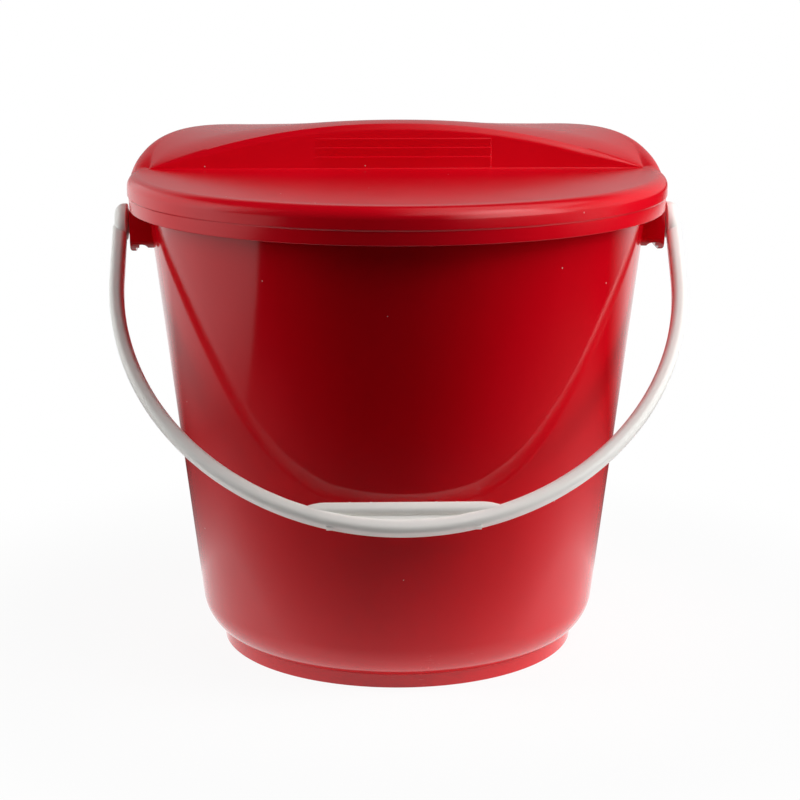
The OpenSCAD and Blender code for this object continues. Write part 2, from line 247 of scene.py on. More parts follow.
@dataclass(frozen=True)
class MouldedPlastic:
    """Injection-moulded plastic: pigment, mould texture, handling marks and dust.

    Colours are linear. Sizes are in metres.
    """

    name: str
    colour: Colour
    deep: Colour
    worn: Colour
    roughness: float
    scuffed: float
    waves: Noise
    wave_depth: float
    grain: Noise
    grain_depth: float
    scuff_below: float
    scuff_fade: float
    scuff_share: float
    scuff_tint: float = 0.35
    dust_share: float = 0.12
    dust_size: float = 0.009
    dust_dot: float = 0.045
    dust_tint: float = 0.75
    dust_colour: Colour = (0.62, 0.5, 0.46)
    swirl: Noise = Noise(0.07, 3.0, 0.55, (1.0, 1.0, 0.35), (0.3, 0.75))
    flat_strokes: Noise = Noise(0.0016, 3.0, 0.65, (0.25, 0.25, 3.2), (0.60, 0.72))
    steep_strokes: Noise = Noise(0.0019, 3.0, 0.65, (2.4, 2.4, 0.2), (0.62, 0.74))
    patches: Noise = Noise(0.028, 2.0, 0.6, kept=(0.5, 0.72))
    smears: Noise = Noise(0.035, 4.0, 0.6)
    smear_least: float = 0.85
    smear_more: float = 0.3
    ior: float = 1.5
    glow: float = 0.0
    glow_depth: float = 0.003

    def pigment(self, shader: Shader) -> Field:
        """Return the plastic's colour, a little uneven where the melt flowed."""
        return shader.blend(self.swirl.field(shader), self.deep, self.colour)

    def scuffs(self, shader: Shader) -> Field:
        """Make fine scuffs: thin strokes, thickest near the foot.

        Args:
            shader: The material's node tree.

        Returns:
            How scuffed the surface is, from 0 to 1.
        """
        low = shader.axis("Z").ramp(self.scuff_below + self.scuff_fade, self.scuff_below)
        strokes = self.flat_strokes.field(shader) + self.steep_strokes.field(shader)
        patchy = strokes * self.patches.field(shader)
        return (patchy * (low + self.scuff_share)).least(1.0)

    def dust(self, shader: Shader) -> Field:
        """Make a few small specks of dust.

        Args:
            shader: The material's node tree.

        Returns:
            1 on the specks, and 0 elsewhere.
        """
        cells = {"Vector": shader.place, "Scale": 1.0 / self.dust_size}
        dots = shader.node("ShaderNodeTexVoronoi", {}, cells) < self.dust_dot
        draw = shader.node("ShaderNodeTexVoronoi", {}, cells, "Color")
        draw = shader.node("ShaderNodeSeparateColor", {}, {"Color": draw}, "Red")
        return dots * (draw < self.dust_share)

    def material(self) -> bpy.types.Material:
        """Build the material.

        Returns:
            A material of procedural nodes, in object coordinates.
        """
        material = bpy.data.materials.new(self.name)
        shader = Shader(material)
        scuffs = self.scuffs(shader)
        colour = shader.blend(scuffs * self.scuff_tint, self.pigment(shader), self.worn)
        dust = self.dust(shader) * self.dust_tint
        smears = self.smear_least + self.smear_more * self.smears.field(shader)
        waves = shader.bump(self.waves.field(shader), self.wave_depth)
        surface = shader.node("ShaderNodeBsdfPrincipled", {}, {
            "Base Color": shader.blend(dust, colour, self.dust_colour),
            "Roughness": smears * self.roughness + scuffs * (self.scuffed - self.roughness),
            "Normal": shader.bump(self.grain.field(shader), self.grain_depth, waves),
            "IOR": self.ior,
            "Subsurface Weight": self.glow,
            "Subsurface Radius": (1.0, 1.0, 1.0),
            "Subsurface Scale": self.glow_depth,
        })
        shader.node("ShaderNodeOutputMaterial", {}, {"Surface": surface})
        return material


class Finish(Enum):
    """The finishes of the fire bucket's pieces."""

    BUCKET = MouldedPlastic(
        "gloss_red_plastic", colour=(0.60, 0.0012, 0.008), deep=(0.54, 0.0008, 0.0055),
        worn=(0.72, 0.06, 0.06), roughness=0.1, scuffed=0.42,
        waves=Noise(0.05, 1.0), wave_depth=0.00022, grain=Noise(0.0011), grain_depth=0.000004,
        scuff_below=0.012, scuff_fade=0.03, scuff_share=0.10,
    )
    LID = MouldedPlastic(
        "satin_red_plastic", colour=(0.74, 0.0016, 0.012), deep=(0.69, 0.0011, 0.009),
        worn=(0.72, 0.07, 0.07), roughness=0.22, scuffed=0.4,
        waves=Noise(0.06, 1.0), wave_depth=0.00015, grain=Noise(0.0007), grain_depth=0.000003,
        scuff_below=0.0, scuff_fade=0.01, scuff_share=0.05,
    )
    HANDLE = MouldedPlastic(
        "satin_white_plastic", colour=(0.93, 0.915, 0.88), deep=(0.90, 0.885, 0.845),
        worn=(0.60, 0.59, 0.55), roughness=0.36, scuffed=0.55,
        waves=Noise(0.03, 1.0), wave_depth=0.0001, grain=Noise(0.0008), grain_depth=0.00001,
        scuff_below=0.0, scuff_fade=0.01, scuff_share=0.2,
        dust_colour=(0.4, 0.36, 0.32), glow=0.12,
    )


def shown(name: str, data: bpy.types.ID) -> bpy.types.Object:
    """Show a mesh, a light or a camera in the scene.

    Args:
        name: Name of the new object.
        data: What it shows.

    Returns:
        The new object.
    """
    made = bpy.data.objects.new(name, data)
    bpy.context.scene.collection.objects.link(made)
    return made


def pivot_height() -> float:
    """Return the height of the axis that the bail swings about."""
    return next(j for j in frame["joints"] if j["name"] == "handle_swing")["pos_m"][2]


class Solid:
    """A closed mesh in the making: its points and the faces between them."""

    def __init__(self) -> None:
        """Start with no points and no faces."""
        self.points: list[Vector] = []
        self.faces: list[tuple[int, ...]] = []

    def add(self, points: Iterable[Sequence[float]]) -> list[int]:
        """Add points.

        Args:
            points: Their places.

        Returns:
            Their numbers.
        """
        first = len(self.points)
        self.points.extend(Vector(p) for p in points)
        return list(range(first, len(self.points)))

    def join(self, other: "Solid") -> None:
        """Take in another solid's points and faces."""
        first = self.add(other.points)[0]
        self.faces.extend(tuple(first + i for i in face) for face in other.faces)

    def face(self, corners: Sequence[int]) -> None:
        """Add a face, without the corners that repeat, if at least three are left."""
        corners = tuple(dict.fromkeys(corners))
        if len(corners) > 2:
            self.faces.append(corners)

    def rings(self, rings: Sequence[Sequence[Triple]]) -> "Solid":
        """Join rings of points, in order, and cap both ends.

        Args:
            rings: Rings of equally many points.

        Returns:
            This solid.
        """
        lines = [self.add(ring) for ring in rings]
        self.bands(lines, closed=True)
        self.face(lines[0][::-1])
        self.face(lines[-1])
        return self

    def lathe(self, outline: Sequence[Point], steps: int) -> "Solid":
        """Turn a closed outline about Z; its points with no radius become single points.

        Args:
            outline: The outline, as (radius, height).
            steps: Number of steps round the axis.

        Returns:
            This solid.
        """
        turns = [2 * math.pi * i / steps for i in range(steps)]
        lines = []
        for radius, height in outline:
            around = turns[:1] if radius < TINY else turns
            line = self.add((radius * math.cos(t), radius * math.sin(t), height) for t in around)
            lines.append(line * (steps // len(line)))
        self.bands([*lines, lines[0]], closed=True)
        return self

    def bands(self, lines: Sequence[Sequence[int]], closed: bool = False) -> None:
        """Add the faces between neighbouring lines of points.

        Args:
            lines: Lines of equally many point numbers.
            closed: Whether each line's last point joins its first.
        """
        for a, b in zip(lines, lines[1:]):
            for i in range(len(a) if closed else len(a) - 1):
                j = (i + 1) % len(a)
                self.face((a[i], a[j], b[j], b[i]))

    def moved(self, matrix: Matrix) -> "Solid":
        """Move every point by a matrix, and return this solid."""
        self.points = [matrix @ p for p in self.points]
        return self

    def mesh(self, name: str, crease: float) -> bpy.types.Mesh:
        """Build the mesh.

        Args:
            name: Name of the mesh.
            crease: Angle over which an edge stays sharp, in degrees.

        Returns:
            A smooth-shaded mesh whose faces look outwards.
        """
        made = bmesh.new()
        verts = [made.verts.new(p) for p in self.points]
        for face in self.faces:
            made.faces.new([verts[i] for i in face])
        bmesh.ops.recalc_face_normals(made, faces=made.faces)
        mesh = bpy.data.meshes.new(name)
        made.to_mesh(mesh)
        made.free()
        mesh.shade_smooth()
        mesh.set_sharp_from_angle(angle=math.radians(crease))
        return mesh


@dataclass
class Moulding:
    """One moulding: a node of the frame, the piece that stands for it, and its finish."""

    node: str
    slot: str
    finish: Finish
    crease: float

    def solids(self) -> list[Solid]:
        """Return the closed solids that make up the moulding."""
        raise NotImplementedError

    def build(self) -> bpy.types.Object:
        """Build the moulding's piece and fasten it to its body.

        Returns:
            The piece, dressed.
        """
        whole = Solid()
        for solid in self.solids():
            whole.join(solid)
        mesh = whole.mesh(f"{self.node}_mesh", self.crease)
        piece = shown(f"{self.node}_moulding", mesh)
        mesh.materials.append(self.finish.value.material())
        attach(piece, self.node)
        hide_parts(self.node)
        low, high = Vector(piece.bound_box[0]), Vector(piece.bound_box[6])
        LOG.info("%s: %d faces, from %s to %s", piece.name, len(mesh.polygons), low[:], high[:])
        return piece


@dataclass
class Bucket(Moulding):
    """The bucket: tapered wall, floor on a foot ring, turned-down rim and two hollow ears."""

    node: str = "bucket"
    slot: str = "bucket_red"
    finish: Finish = Finish.BUCKET
    crease: float = 32.0
    overhang: float = 0.0065
    lip: float = 0.011
    rim_round: float = 0.005
    rim_start: float = 80.0
    rim_bevel: float = 0.001
    wall: float = 0.002
    wall_margin: float = 0.003
    draft: float = 0.117
    corner: float = 0.025
    foot_height: float = 0.004
    foot_inset: float = 0.009
    foot_wall: float = 0.003
    soft: float = 0.0004
    ear_gap: float = 0.0006
    ear_width: float = 0.034
    ear_plate: float = 0.003
    ear_web: float = 0.0022
    ear_drop: float = 0.015
    ear_leg: float = 0.005
    ear_edge: float = 0.002
    ear_corner: float = 0.008
    ear_from: float = 0.1
    notch_height: float = 0.0044
    notch_width: float = 0.0054
    notch_bend: float = 0.0039
    hole: float = 0.00425
    hole_span: Point = (0.12, 0.17)
    tool_from: float = 0.05
    spare: float = 0.01
    soft_angle: float = 50.0
    soft_steps: int = 5
    soft_segments: int = 3
    arch_steps: int = 10
    ear_steps: int = 12
    rim_steps: int = 16
    corner_steps: int = 24
    wall_steps: int = 30
    edge_steps: int = 8
    hole_steps: int = 96
    turns: int = 360

    def __post_init__(self) -> None:
        """Take the overall sizes from the frame."""
        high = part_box("bucket")[1]
        self.rim_r, self.rim_z, self.ear_x = high.y, high.z, high.x
        self.ear_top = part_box("lid")[0].z - self.ear_gap
        self.pivot_z = pivot_height()

    def wall_r(self, z: float) -> float:
        """Return the wall's outer radius at a height."""
        return self.rim_r - self.overhang - self.draft * (self.rim_z - z)

    def wall_line(self, inset: float, start: float, end: float) -> list[Point]:
        """Return points at an inset from the wall's outside, between two heights."""
        heights = (mix(start, end, t) for t in shares(self.wall_steps))
        return [(self.wall_r(z) - inset, z) for z in heights]

    def outline(self) -> list[Point]:
        """Work out the moulding's outline.

        Returns:
            Its points (radius, height), from the foot round the outside and down the inside.
        """
        slant = math.hypot(1.0, self.draft)
        tilt = math.degrees(math.atan(self.draft))
        foot_r = self.wall_r(0.0) - self.foot_inset
        foot_in = foot_r - self.foot_wall
        corner_z = self.foot_height + self.corner
        corner_x = self.wall_r(corner_z) - self.corner * slant
        bend, bends = (corner_x, corner_z), self.corner_steps
        lip_z = self.rim_z - self.lip
        under = self.rim_z - self.wall
        low, high = corner_z + self.wall_margin, under - self.wall_margin
        inner = self.wall_r(self.rim_z) - self.wall * slant
        hub = (self.rim_r - self.rim_round, self.rim_z - self.rim_round)
        bevel = (inner + self.rim_bevel, self.rim_z - self.rim_bevel)
        soft, steps, count = self.soft, self.soft_steps, self.edge_steps
        meet, leave = (
            -math.degrees(math.acos((r - corner_x) / self.corner)) for r in (foot_r, foot_in))
        return [
            *arc((foot_in + soft, soft), soft, 180, 270, steps),
            *arc((foot_r - soft, soft), soft, 270, 360, steps),
            *arc(bend, self.corner, meet, -tilt, bends),
            *self.wall_line(0.0, low, high),
            (self.wall_r(under), under),
            (self.rim_r - self.rim_round, under),
            *arc(hub, self.rim_round - self.wall, self.rim_start, 0, self.arch_steps),
            *arc((self.rim_r - self.wall + soft, lip_z + soft), soft, 180, 270, steps),
            *arc((self.rim_r - soft, lip_z + soft), soft, 270, 360, steps),
            *arc(hub, self.rim_round, 0, 90, self.rim_steps),
            *arc(bevel, self.rim_bevel, 90, 180, steps),
            *self.wall_line(self.wall * slant, high, low),
            *arc(bend, self.corner - self.wall, -tilt, -90, bends),
            *[(corner_x * (1 - t), self.foot_height + self.wall) for t in shares(count)[1:]],
            *[(corner_x * t, self.foot_height) for t in shares(count)[:-1]],
            *arc(bend, self.corner, -90, leave, count),
        ]

    def ear_front(self, foot: float) -> list[Point]:
        """Work out an ear's front outline, with the arched notch beside its outer leg.

        Args:
            foot: Height of the ear's lower edge.

        Returns:
            The outline on x and z.
        """
        out, edge = self.ear_x - self.ear_leg, self.ear_edge
        bend = self.notch_bend
        arch = (out - self.notch_width + bend, foot + self.notch_height - bend)
        return [
            (self.ear_from, self.ear_top), (self.ear_from, foot), (out - self.notch_width, foot),
            *arc(arch, bend, 180, 90, self.arch_steps),
            (out, foot + self.notch_height), (out, foot),
            *arc((self.ear_x - edge, foot + edge), edge, -90, 0, self.edge_steps),
            (self.ear_x, self.ear_top),
        ]

    def ear_tools(self, foot: float) -> list[tuple[Solid, str]]:
        """Make the solids that shape the ear's block.

        Args:
            foot: Height of the ear's lower edge.

        Returns:
            Each solid, with the name of what it does to the block.
        """
        half, top, corner, steps = self.ear_width / 2, self.ear_top, self.ear_corner, self.ear_steps
        over, below, deep = top + self.spare, foot - self.spare, foot - 2 * self.spare
        side = [(-half, over), (-half, foot + corner),
                *arc((-half + corner, foot + corner), corner, 180, 270, steps),
                *arc((half - corner, foot + corner), corner, 270, 360, steps), (half, over)]
        spans = (self.tool_from, self.ear_x + self.spare)
        keep = Solid().rings([[(x, y, z) for y, z in side] for x in spans])
        start, end, inside = self.tool_from, self.ear_x - self.ear_plate, half - self.ear_web
        core = Solid().rings([
            [(start, -inside, z), (end, -inside, z), (end, inside, z), (start, inside, z)]
            for z in (below, top - self.ear_web)
        ])
        (near, far), hole = self.hole_span, self.hole
        bore = Solid().lathe([(0, near), (hole, near), (hole, far), (0, far)], self.hole_steps)
        bore.moved(Matrix.Translation((0, 0, self.pivot_z)) @ Matrix.Rotation(math.pi / 2, 4, "Y"))
        middle = [(self.wall_r(z) - self.wall / 2, z) for z in (deep, over)]
        cone = Solid().lathe([(0, deep), *middle, (0, over)], self.turns)
        return [(keep, "INTERSECT"), *[(solid, "DIFFERENCE") for solid in (core, cone, bore)]]

    def ear(self) -> bpy.types.Mesh:
        """Build the right-hand ear: a plate on two webs and a roof, hollow and open below.

        Returns:
            The ear's mesh, with its edges softened.
        """
        foot, half = self.pivot_z - self.ear_drop, self.ear_width / 2
        front = self.ear_front(foot)
        block = Solid().rings([[(x, y, z) for x, z in front] for y in (-half, half)])
        made = shown("ear_block", block.mesh("ear_block", self.crease))
        tools = []
        for number, (solid, operation) in enumerate(self.ear_tools(foot)):
            tool = shown(f"ear_tool_{number}", solid.mesh("ear_tool", self.crease))
            cut = made.modifiers.new(f"cut_{number}", "BOOLEAN")
            cut.object, cut.operation, cut.solver = tool, operation, "EXACT"
            tools.append(tool)
        soften = made.modifiers.new("soften", "BEVEL")
        soften.width, soften.segments = self.soft, self.soft_segments
        soften.limit_method, soften.angle_limit = "ANGLE", math.radians(self.soft_angle)
        graph = bpy.context.evaluated_depsgraph_get()
        mesh = bpy.data.meshes.new_from_object(made.evaluated_get(graph), depsgraph=graph)
        for tool in [*tools, made]:
            bpy.data.objects.remove(tool)
        return mesh

    def solids(self) -> list[Solid]:
        """Make the turned shell and the two ears.

        Returns:
            The three solids.
        """
        ear = self.ear()
        found = [Solid().lathe(self.outline(), self.turns)]
        for side in (1, -1):
            solid = Solid()
            solid.add((side * v.co.x, v.co.y, v.co.z) for v in ear.vertices)
            solid.faces = [tuple(p.vertices) for p in ear.polygons]
            found.append(solid)
        return found


@dataclass
class Lid(Moulding):
    """The lid: flat front, raised hood behind an upright finger wall, and a skirt with a step.

    The top is a grid of columns that run from the front rim over the finger wall to the back rim.
    The first and the last column have two points: one on the rim, and the wall's end.
    """

    node: str = "lid"
    slot: str = "lid_red"
    finish: Finish = Finish.LID
    crease: float = 18.0
    thick: float = 0.0022
    band: float = 0.0076
    band_step: float = 0.0006
    band_soft: float = 0.0003
    lip_inset: float = 0.0004
    lip_r: float = 0.0005
    shoulder_w: float = 0.0073
    shoulder_h: float = 0.0065
    shoulder_full: float = 1.3
    full_h: float = 0.008
    hood_h: float = 0.028
    hood_fall: float = 0.129
    hood_run: float = 0.106
    hood_power: float = 1.7
    arch_power: float = 2.25
    wall_y: float = 0.006
    wall_lean: float = 0.0045
    edge_h: float = 0.0246
    edge_power: float = 2.13
    edge_r: float = 0.0065
    edge_turn: float = 31.0
    edge_share: float = 0.6
    under_share: float = 0.2
    crown: float = 0.0136
    crown_side: float = 0.027
    crown_spread: float = 1.6
    crown_most: float = 0.45
    crown_rise: float = 0.09
    crown_skip: int = 4
    nudge: float = 0.0001
    panel_fade: float = 0.022
    tip_inset: float = 0.0039
    height: float = 0.0194
    step_count: int = 3
    step_half: float = 0.0526
    step_side: float = 0.00035
    step_first: float = 0.0066
    step_pitch: float = 0.005
    step_bevel: float = 0.00025
    foot_fillet: float = 0.0008
    fillet_share: float = 0.125
    front_power: float = 1.3
    end_cols: int = 44
    panel_cols: int = 56
    front_rows: int = 30
    hood_rows: int = 40
    crest_steps: int = 12
    shoulder_steps: int = 14
    lip_steps: int = 5

    def __post_init__(self) -> None:
        """Take the overall sizes from the frame."""
        low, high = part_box("lid")
        self.lid_r, self.skirt_z = high.x, low.z
        self.top_r = self.lid_r - self.shoulder_w
        self.top_z = self.skirt_z + self.height
        self.tip_x = math.sqrt(self.top_r ** 2 - self.wall_y ** 2) - self.tip_inset

    @property
    def cols(self) -> int:
        """Number of the last column."""
        return 2 * self.end_cols + 2 + self.panel_cols

    def wall_x(self, k: int) -> float:
        """Find where a column stands along the wall.

        Args:
            k: Number of the column.

        Returns:
            Its x.
        """
        ends, panel = self.end_cols, self.panel_cols
        if k > ends + 1 + panel:
            return -self.wall_x(self.cols - k)
        if k > ends:
            return mix(-self.step_half, self.step_half, (k - ends - 1) / panel)
        edge = math.acos((self.step_half + self.step_side) / self.tip_x)
        return -self.tip_x * math.cos(edge * k / ends)

    def beside(self, x: float) -> bool:
        """Return whether a place along the wall is beside the finger steps."""
        return abs(x) > self.step_half + TINY

    def rim_angles(self, k: int) -> Point:
        """Find where a column meets the rim.

        Args:
            k: Number of the column.

        Returns:
            The angles, in radians, of its front and back ends.
        """
        tip = math.asin(self.wall_y / self.top_r)
        share = math.acos(max(-1.0, min(1.0, -self.wall_x(k) / self.tip_x))) / math.pi
        start = math.pi - tip
        return start + (math.pi + 2 * tip) * share, start - (math.pi - 2 * tip) * share

    def on_rim(self, angle: float) -> Point:
        """Return the point of the flat top's edge at an angle."""
        return self.top_r * math.cos(angle), self.top_r * math.sin(angle)

    def ends(self, k: int) -> tuple[Point, Point]:
        """Return the points on the rim where column k starts and ends."""
        front, back = self.rim_angles(k)
        return self.on_rim(front), self.on_rim(back)

    def hood(self, x: float, y: float) -> float:
        """Find the hood's height over the flat top.

        Args:
            x: Place along the wall.
            y: Place from front to back.

        Returns:
            The height.
        """
        back = y - self.wall_y
        side = min(1.0, abs(x) / self.tip_x) ** self.arch_power
        dip = side * max(0.0, 1.0 - back / self.hood_run) ** self.hood_power
        return self.hood_h * (1.0 - dip) - self.hood_fall * back

    def edge(self, x: float) -> float:
        """Return the height of the wall's arched edge, where the hood begins."""
        return self.edge_h * (1.0 - (abs(x) / self.tip_x) ** self.edge_power)

    def edge_round(self, x: float) -> float:
        """Return the radius of the rounding below the edge, less towards the wall's ends."""
        return min(self.edge_r, self.edge_share * self.edge(x))

    def turns(self) -> list[float]:
        """Work out the slopes that the rounding passes through below the edge.

        Returns:
            The slopes, in radians, from the wall's front to the edge.
        """
        steep = math.atan2(self.hood_h, self.wall_lean)
        last = math.radians(self.edge_turn)
        return [mix(steep, last, t) for t in shares(self.crest_steps)]

    def wall_top(self, x: float) -> float:
        """Return the height at which the wall's flat front gives way to its rounding."""
        turns = self.turns()
        return self.edge(x) - self.edge_round(x) * (math.cos(turns[-1]) - math.cos(turns[0]))

    def lean(self, height: float) -> float:
        """Return how far the wall leans back at a height."""
        return self.wall_lean * height / self.hood_h

    def hub(self, x: float) -> Point:
        """Return the middle (back, up) of the rounding."""
        low, r, steep = self.wall_top(x), self.edge_round(x), self.turns()[0]
        return self.lean(low) + r * math.sin(steep), low - r * math.cos(steep)

    def crown_line(self, x: float, back_y: float) -> list[Point]:
        """Work out the hood's first stretch behind the edge.

        Args:
            x: Place along the wall.
            back_y: Where this column meets the back rim.

        Returns:
            Its points (back, up), from the edge to where it meets the hood's own surface.
        """
        start = self.hub(x)[0] - self.edge_round(x) * math.sin(self.turns()[-1])
        side = min(1.0, abs(x) / self.tip_x * self.crown_spread)
        run = mix(self.crown, self.crown_side, ease(side))
        run = min(run, self.crown_most * (back_y - self.wall_y - start))
        rise = self.hood(x, self.wall_y + start + run) - self.edge(x)
        ahead = self.hood(x, self.wall_y + start + run + self.nudge)
        first = rise + self.crown_rise * run
        last = (ahead - self.edge(x) - rise) / self.nudge * run
        points = []
        for t in shares(self.crest_steps)[1:]:
            up = (t ** 3 - 2 * t * t + t) * first + ease(t) * rise + (t ** 3 - t * t) * last
            points.append((start + run * t, self.edge(x) + up))
        return points

    def stepped(self, x: float) -> float:
        """Return 1 where the finger steps are full, less on the left, and 0 beside them."""
        return 0.0 if self.beside(x) else ease(min(1.0, (x + self.step_half) / self.panel_fade))

    def wall_front(self, x: float) -> list[Point]:
        """Work out the wall's front: the finger steps, then the rounding.

        Args:
            x: Place along the wall.

        Returns:
            Its points (back, up), from the foot to the edge.
        """
        low, hub, r, full = self.wall_top(x), self.hub(x), self.edge_round(x), self.stepped(x)
        scale = low / self.wall_top(self.step_half) if self.beside(x) else 1.0
        points, below = [], 0.0
        for i in range(self.step_count):
            top = self.step_first + i * self.step_pitch
            edge, over = (scale * (top + side * self.step_bevel) for side in (-1, 1))
            points.append((mix(self.lean(edge), self.lean(below), full), edge))
            points.append((self.lean(over), over))
            below = top
        points.extend((hub[0] - r * math.sin(s), hub[1] + r * math.cos(s)) for s in self.turns())
        return points

    def back_part(self, k: int, top_y: float) -> list[Triple]:
        """Work out the hood in a column, from behind the wall to the back rim.

        Args:
            k: Number of the column.
            top_y: Where the column leaves the wall's crown.

        Returns:
            The column's points there.
        """
        x, back = self.wall_x(k), self.ends(k)[1]
        flat = [(mix(x, back[0], t), mix(top_y, back[1], t)) for t in shares(self.hood_rows)[1:]]
        return [(px, py, self.top_z + self.hood(px, py)) for px, py in flat]

    def column(self, k: int) -> list[Triple]:
        """Work out a column of the top, from the front rim over the wall to the back rim.

        Args:
            k: Number of the column.

        Returns:
            The column's points.
        """
        x = self.wall_x(k)
        front, back = self.ends(k)
        fillet = min(self.foot_fillet, self.fillet_share * self.edge(x))
        foot_y = self.wall_y - fillet
        points = []
        for share in shares(self.front_rows):
            t = 1 - (1 - share) ** self.front_power
            points.append((mix(front[0], x, t), mix(front[1], foot_y, t), self.top_z))
        for c, s in (turned(30), turned(60)):
            points.append((x, self.wall_y - fillet * (1 - s), self.top_z + fillet * (1 - c)))
        wall = self.wall_front(x) + self.crown_line(x, back[1])
        points.append((x, self.wall_y, self.top_z + fillet))
        points.extend((x, self.wall_y + out, self.top_z + up) for out, up in wall)
        return points + self.back_part(k, self.wall_y + wall[-1][0])

    def under_column(self, k: int) -> list[Triple]:
        """Work out a column of the underside, one thickness below the top.

        Args:
            k: Number of the column.

        Returns:
            The column's points, from the front to the back.
        """
        x, low_z = self.wall_x(k), self.top_z - self.thick
        front, back = self.ends(k)
        behind, hub = self.thick * min(1.0, self.edge(x) / self.full_h), self.hub(x)
        r = max(self.edge_round(x) - behind, self.under_share * self.edge_round(x))
        points = []
        for t in shares(self.front_rows)[1:]:
            points.append((mix(front[0], x, t), mix(front[1], self.wall_y + behind, t), low_z))
        for s in self.turns():
            up = hub[1] + r * math.cos(s) - self.thick + behind
            points.append((x, self.wall_y + hub[0] - r * math.sin(s), self.top_z + up))
        crown = self.crown_line(x, back[1])[self.crown_skip:]
        points.extend((x, self.wall_y + out, self.top_z + up - self.thick) for out, up in crown)
        hood = self.back_part(k, points[-1][1])[:-1]
        return points + [(px, py, pz - self.thick) for px, py, pz in hood]

    def skirt(self, height: float) -> list[Point]:
        """Return the skirt's rings (radius, height) below a point of the top's edge.

        Args:
            height: Height of the top's edge there, above the flat top.

        Returns:
            The rings from the shoulder down the outside and up the inside.
        """
        z, soft = self.top_z + height, self.band_soft
        inner = self.lid_r - self.thick
        inside = inner - self.top_r
        band_z, band_r = self.skirt_z + self.band, self.lid_r - self.band_step
        lip = (band_r - self.lip_inset - self.lip_r, self.skirt_z + self.lip_r)
        power = 2 / (2 + self.shoulder_full * min(1.0, max(0.0, height) / self.full_h))
        ways = (turned(90 * t) for t in shares(self.shoulder_steps))
        bends = [(s ** power, 1 - max(0.0, c) ** power) for c, s in ways]
        return [
            *[(self.top_r + self.shoulder_w * w, z - self.shoulder_h * h) for w, h in bends[1:]],
            (self.lid_r, band_z + 2 * soft), (self.lid_r - soft / 2, band_z + soft),
            (band_r + soft / 2, band_z - soft / 3), (band_r, band_z - soft),
            *arc(lip, self.lip_r, 360, 270, self.lip_steps),
            (inner + soft, self.skirt_z), (inner, self.skirt_z + 2 * soft),
            *[(self.top_r + inside * w, z - self.thick - (self.shoulder_h - self.thick) * h)
              for w, h in reversed(bends)],
        ]

    def solids(self) -> list[Solid]:
        """Make the top, the skirt round it and the underside.

        Returns:
            The lid's one solid.
        """
        solid = Solid()
        last = self.cols
        top: list[list[int]] = []
        for k in range(last + 1):
            points = self.column(k)
            if k in (0, last):
                rim, end = solid.add([points[0], (self.wall_x(k), self.wall_y, self.top_z)])
                top.append([rim, *[end] * (len(points) - 2), rim])
            else:
                top.append(solid.add(points))
        angles = [self.rim_angles(k)[0] for k in range(last + 1)]
        angles += [self.rim_angles(k)[1] for k in range(last - 1, 0, -1)]
        heights = [0.0 if m <= last else self.hood(*self.on_rim(a)) for m, a in enumerate(angles)]
        loops = [[column[0] for column in top] + [column[-1] for column in reversed(top[1:-1])]]
        for ring in zip(*[self.skirt(h) for h in heights]):
            loops.append(solid.add(
                (r * math.cos(a), r * math.sin(a), z) for (r, z), a in zip(ring, angles)))
        solid.bands(loops, closed=True)
        rim = loops[-1]
        under = [[rim[k], *solid.add(self.under_column(k)), rim[-k]] for k in range(1, last)]
        size = len(under[0])
        solid.bands(top)
        solid.bands([[rim[0]] * size, *under, [rim[last]] * size])
        return [solid]


